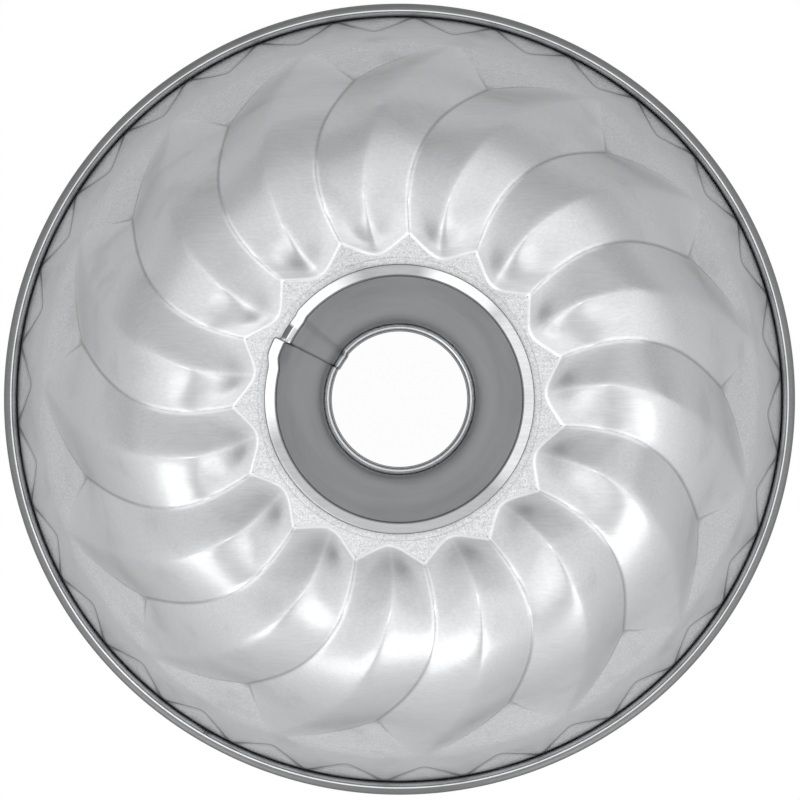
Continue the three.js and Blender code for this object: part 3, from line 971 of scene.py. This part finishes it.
def tin_colour(material, base, spot, burnish_and_highlight, speckle):
    """Colour of tin: painted lighter as a highlight where the burnish is high, darkened by painted shade, and
    marked by grain, rolling and use.
    """
    painted_shade = add_node(material, "Attribute", attribute_name="painted_shade").outputs["Fac"]
    highlighted = add_node(material, "MapRange", {"Value": burnish_and_highlight, "From Min": HIGHLIGHT_FROM})
    bright = add_node(material, "Mix", data_type="RGBA", inputs={
        0: highlighted, 6: (*base, 1), 7: (*finish().highlight_colour, 1)})
    darkest_shade = [DARKEST_PAINTED_SHADE * value for value in base]
    shaded_colour = add_node(material, "Mix", data_type="RGBA", inputs={
        0: painted_shade, 6: bright.outputs[2], 7: (*darkest_shade, 1)})
    rolled = add_node(material, "VectorMath", {0: spot, 1: STREAK_STRETCH}, operation="MULTIPLY")
    lines = add_node(material, "TexNoise", {"Vector": rolled, "Scale": 1 / STREAK, "Detail": 2.0})
    streaks = add_node(material, "MapRange", {
        "Value": lines, "To Min": 1 - STREAK_CONTRAST, "To Max": 1 + STREAK_CONTRAST})
    stain = add_node(material, "TexNoise", {"Vector": spot, "Scale": 1 / STAIN, "Detail": 4.0})
    stains = add_node(material, "MapRange", interpolation_type="SMOOTHSTEP", inputs={
        "Value": stain, "From Min": STAIN_SPAN[0], "From Max": STAIN_SPAN[1],
        "To Min": 1.0, "To Max": 1 - STAIN_DARK})
    marks = add_node(material, "Math", {0: speckle, 1: streaks}, operation="ADD")
    stained = add_node(material, "Math", {0: marks, 1: stains}, operation="MULTIPLY")
    return add_node(material, "VectorMath", {0: shaded_colour.outputs[2], "Scale": stained}, operation="SCALE")


def tin_roughness(material, roughness, spot, burnish_and_highlight):
    """Roughness of tin: smoother where it is burnished, and a little cloudy all over."""
    cloud = add_node(material, "TexNoise", {"Vector": spot, "Scale": 1 / CLOUD, "Detail": 3.0})
    polish = add_node(material, "MapRange", {
        "Value": burnish_and_highlight, "To Min": roughness + GRAINY_ROUGHER, "To Max": roughness - BURNISHED_SMOOTHER})
    uneven = add_node(material, "MapRange", {
        "Value": cloud, "To Min": -CLOUD_CONTRAST, "To Max": CLOUD_CONTRAST})
    return add_node(material, "Math", {0: polish, 1: uneven}, operation="ADD")


def tinned_steel(name, base, roughness):
    """Steel with a thin coat of tin, which mirrors the room as a haze with a clearer image inside it.

    Burnished places lose their grain and mirror more clearly, and the most burnished are painted lighter as
    highlights; creases, steps and crevices are darkened with painted shade.
    """
    material = new_material(name)
    spot = add_node(material, "TexCoord").outputs["Object"]
    burnish_and_highlight = add_node(material, "Attribute", attribute_name="burnish_and_highlight").outputs["Fac"]
    grain = add_node(material, "TexNoise", {"Vector": spot, "Scale": 1 / GRAIN, "Detail": 1.0})
    depth = add_node(material, "MapRange", {
        "Value": burnish_and_highlight, "From Max": GRAIN_RUBBED, "To Min": 1.0, "To Max": GRAIN_LEFT})
    contrast = add_node(material, "MapRange", {
        "Value": grain, "To Min": -GRAIN_CONTRAST, "To Max": GRAIN_CONTRAST})
    speckle = add_node(material, "Math", {0: contrast, 1: depth}, operation="MULTIPLY")
    bump = add_node(material, "Bump", {"Height": grain, "Strength": depth, "Distance": GRAIN_BUMP})
    shade = tin_colour(material, base, spot, burnish_and_highlight, speckle)
    hazy = tin_roughness(material, roughness, spot, burnish_and_highlight)
    clear = add_node(material, "Math", {0: hazy, 1: CLEAR_ROUGHNESS}, operation="MULTIPLY")
    looks = [add_node(material, "BsdfPrincipled", {
        "Base Color": shade, "Metallic": 1.0, "Roughness": spread, "Normal": bump,
        "Specular Tint": EDGE_TINT}) for spread in (hazy, clear)]
    both = add_node(material, "MixShader", {0: CLEAR_SHARE, 1: looks[0], 2: looks[1]})
    add_node(material, "OutputMaterial", {"Surface": both})
    return material


def pressed_tinplate():
    """Sheet that was drawn over a die. The flutes shine with soft streaks, and the flat ring stays grainy."""
    return tinned_steel("pressed tinplate", finish().shell_colour, finish().shell_roughness)


def rolled_tinplate():
    """Sheet that was only bent and folded. It is drawn greyer than the shell, as painted shade inside the
    tube, and its folds and edges are darkened with painted shade.
    """
    return tinned_steel("rolled tinplate", finish().tube_colour, finish().tube_roughness)


def drawn_steel_wire():
    """Wire that was pulled through a die. It shows as a hazy grey band in the rim."""
    return tinned_steel("drawn steel wire", finish().wire_colour, finish().wire_roughness)


class PAN_OT_fluted_shell(bpy.types.Operator):
    """Builds the pressed shell: ring, flutes, wall and rolled rim"""

    bl_idname = "pan.fluted_shell"
    bl_label = "Fluted shell"

    def execute(self, context):
        piece = add_object("shell", fluted_shell_mesh(), pressed_tinplate())
        add_sheet(piece)
        stand_for(piece, "fluted_shell")
        return {"FINISHED"}


class PAN_OT_centre_tube(bpy.types.Operator):
    """Builds the conical tube with its lapped side, rolled mouth and folded seam"""

    bl_idname = "pan.centre_tube"
    bl_label = "Centre tube"

    def execute(self, context):
        piece = add_object("tube", centre_tube_mesh(), rolled_tinplate())
        add_sheet(piece)
        stand_for(piece, "centre_tube")
        return {"FINISHED"}


class PAN_OT_rim_wire(bpy.types.Operator):
    """Builds the wire inside the rolled rim"""

    bl_idname = "pan.rim_wire"
    bl_label = "Rim wire"

    def execute(self, context):
        piece = add_object("wire", rim_wire_mesh(), drawn_steel_wire())
        stand_for(piece, "rim_wire")
        return {"FINISHED"}


# The photograph's view: straight down, the pan a little off the picture's middle
CAMERA_HEIGHT = 1.0  # metres
FOCAL_PIXELS = 3591
PICTURE = 800  # pixels
SENSOR = 36  # millimetres
PAN_MIDDLE = (399.5, 399.2)  # pixels


def add_camera():
    data = bpy.data.cameras.new("photograph")
    data.sensor_width = SENSOR
    data.lens = SENSOR * FOCAL_PIXELS / PICTURE
    camera = put("photograph", data)
    across = (PICTURE / 2 - PAN_MIDDLE[0]) * CAMERA_HEIGHT / FOCAL_PIXELS
    up = (PAN_MIDDLE[1] - PICTURE / 2) * CAMERA_HEIGHT / FOCAL_PIXELS
    camera.location = (across, up, CAMERA_HEIGHT)
    bpy.context.scene.camera = camera


# Softboxes, in metres: two low in front, which the flutes mirror, and one overhead
FRONT_LIGHT_ASIDE = 0.175
FRONT_LIGHT_AHEAD = 0.303
FRONT_LIGHT_HEIGHT = 0.105
FRONT_LIGHT_SIZE = (0.18, 0.205)
OVERHEAD_PLACE = (-0.3, -0.3, 1.5)
OVERHEAD_AIM = (0, 0, 0.1)
OVERHEAD_SIZE = (0.3, 0.3)


def add_area_light(name, location, aim, size, watts):
    data = bpy.data.lights.new(name, "AREA")
    data.shape = "RECTANGLE"
    data.size, data.size_y = size
    data.energy = watts
    light = put(name, data)
    light.location = location
    light.rotation_euler = (Vector(aim) - Vector(location)).to_track_quat("-Z", "Y").to_euler()


def add_lights():
    look = stage_look()
    for name, side in (("front left", -1), ("front right", 1)):
        location = (side * FRONT_LIGHT_ASIDE, -FRONT_LIGHT_AHEAD, FRONT_LIGHT_HEIGHT)
        add_area_light(name, location, (0, 0, FRONT_LIGHT_HEIGHT), FRONT_LIGHT_SIZE, look.front_lights)
    add_area_light("overhead", OVERHEAD_PLACE, OVERHEAD_AIM, OVERHEAD_SIZE, look.overhead)


# Floor, in metres
FLOOR_HALF = 3  # from its middle to a side
FLOOR_FADES = (0.15, 0.23)  # from the pan's axis, where the white ends and the painted grey shade is full
FLOOR_TURNS = (-0.25, 0.25)  # from front to back, where this fading begins and is full
SHOWN_WHITE = 0.97  # the rest is lit paper, which keeps the pan's shadow


def white_paper():
    """Matt white paper, seen white both directly and in the metal. Behind the pan it fades to a painted grey
    shade.
    """
    look = stage_look()
    material = new_material("white paper")
    spot = add_node(material, "TexCoord").outputs["Object"]
    parts = add_node(material, "SeparateXYZ", {"Vector": spot})
    away = add_node(material, "VectorMath", {0: spot}, operation="LENGTH")
    far = add_node(material, "MapRange", interpolation_type="SMOOTHSTEP", inputs={
        "Value": away.outputs["Value"], "From Min": FLOOR_FADES[0], "From Max": FLOOR_FADES[1]})
    back = add_node(material, "MapRange", interpolation_type="SMOOTHSTEP", inputs={
        "Value": parts.outputs["Y"], "From Min": FLOOR_TURNS[0], "From Max": FLOOR_TURNS[1]})
    fade = add_node(material, "Math", {0: far, 1: back}, operation="MULTIPLY")
    tone = add_node(material, "Mix", data_type="RGBA", inputs={
        0: fade, 6: (*look.floor_colour, 1), 7: (*look.far_shade_colour, 1)}).outputs[2]
    paper = add_node(material, "BsdfDiffuse", {"Color": tone})
    white = add_node(material, "Emission", {"Color": tone, "Strength": 1.0})
    path = add_node(material, "LightPath").outputs
    mirrored = add_node(material, "Math", operation="ADD", inputs={
        0: path["Is Glossy Ray"], 1: path["Is Transmission Ray"]})
    seen = add_node(material, "Math", operation="ADD", use_clamp=True, inputs={
        0: path["Is Camera Ray"], 1: mirrored})
    shown = add_node(material, "Math", {0: seen, 1: SHOWN_WHITE}, operation="MULTIPLY")
    mixed = add_node(material, "MixShader", {0: shown, 1: paper, 2: white})
    add_node(material, "OutputMaterial", {"Surface": mixed})
    return material


def add_floor():
    mesh = bmesh.new()
    bmesh.ops.create_grid(mesh, x_segments=1, y_segments=1, size=FLOOR_HALF)
    add_object("floor", mesh, white_paper())


# Room. Directions are parts of a length of 1: X to the right, Y to the back, Z up.
ROOM_TURN = 12  # degrees that its bright side is turned to the right
ROOM_FALL = 0.66  # below 1, the room darkens mostly near its back wall
ROOM_LOW = 0.82  # brightness of the walls at the floor against higher up
ROOM_LOW_TOP = 0.6  # Z from which they are full
GAP_DARK = 0.35  # how much darker the room is between the two lamps in front
GAP_SIDES = (0.12, 0.26)  # X to both sides where this gap begins to end and ends
GAP_AHEAD = (-0.5, -0.15)  # Y up to which it is full, and where it ends


def studio_room():
    """A plain white room, lit from the front."""
    look = stage_look()
    world = bpy.data.worlds.new("studio room")
    world.use_nodes = True
    world.node_tree.nodes.clear()
    direction = add_node(world, "TexCoord").outputs["Generated"]
    parts = add_node(world, "SeparateXYZ", {"Vector": direction})
    towards = (sin(ROOM_TURN), -cos(ROOM_TURN), 0)
    facing = add_node(world, "VectorMath", {0: direction, 1: towards}, operation="DOT_PRODUCT")
    frontward = add_node(world, "MapRange", {"Value": facing.outputs["Value"], "From Min": -1.0})
    falling = add_node(world, "Math", {0: frontward, 1: ROOM_FALL}, operation="POWER")
    level = add_node(world, "MapRange", {
        "Value": falling, "To Min": look.room_back, "To Max": look.room_front})
    aside = add_node(world, "Math", {0: parts.outputs["X"]}, operation="ABSOLUTE")
    beside = add_node(world, "MapRange", interpolation_type="SMOOTHSTEP", inputs={
        "Value": aside, "From Min": GAP_SIDES[0], "From Max": GAP_SIDES[1],
        "To Min": 1 - GAP_DARK, "To Max": 1.0})
    behind = add_node(world, "MapRange", {
        "Value": parts.outputs["Y"], "From Min": GAP_AHEAD[0], "From Max": GAP_AHEAD[1]})
    gap = add_node(world, "Math", {0: beside, 1: behind}, operation="MAXIMUM")
    low = add_node(world, "MapRange", {
        "Value": parts.outputs["Z"], "From Max": ROOM_LOW_TOP, "To Min": ROOM_LOW})
    walls = add_node(world, "Math", {0: level, 1: low}, operation="MULTIPLY")
    shaded = add_node(world, "Math", {0: walls, 1: gap}, operation="MULTIPLY")
    light = add_node(world, "Background", {"Color": (*look.room_colour, 1), "Strength": shaded})
    add_node(world, "OutputWorld", {"Surface": light})
    return world


class PAN_OT_stage(bpy.types.Operator):
    """Builds the floor, the light and the camera"""

    bl_idname = "pan.stage"
    bl_label = "Stage"

    def execute(self, context):
        add_floor()
        add_lights()
        context.scene.world = studio_room()
        context.scene.view_settings.view_transform = "Standard"
        add_camera()
        return {"FINISHED"}


class PAN_PT_sidebar(bpy.types.Panel):
    """Lists the steps that build the pan"""

    bl_idname = "PAN_PT_sidebar"
    bl_label = "Tube pan"
    bl_space_type = "VIEW_3D"
    bl_region_type = "UI"
    bl_category = "Tube pan"

    def draw(self, context):
        for operator in OPERATORS:
            self.layout.operator(operator.bl_idname)


GROUPS = {"pan_sizes": PanSizes, "pan_finish": PanFinish, "pan_stage": StageLook}
OPERATORS = (PAN_OT_fluted_shell, PAN_OT_centre_tube, PAN_OT_rim_wire, PAN_OT_stage)


def register():
    for group in GROUPS.values():
        bpy.utils.register_class(group)
    for name, group in GROUPS.items():
        setattr(bpy.types.Scene, name, PointerProperty(type=group))
    for operator in OPERATORS:
        bpy.utils.register_class(operator)
    bpy.utils.register_class(PAN_PT_sidebar)


def unregister():
    bpy.utils.unregister_class(PAN_PT_sidebar)
    for operator in reversed(OPERATORS):
        bpy.utils.unregister_class(operator)
    for name, group in GROUPS.items():
        delattr(bpy.types.Scene, name)
        bpy.utils.unregister_class(group)


def main():
    register()
    bpy.ops.pan.fluted_shell()
    bpy.ops.pan.centre_tube()
    bpy.ops.pan.rim_wire()
    bpy.ops.pan.stage()


if __name__ == "__main__":
    main()
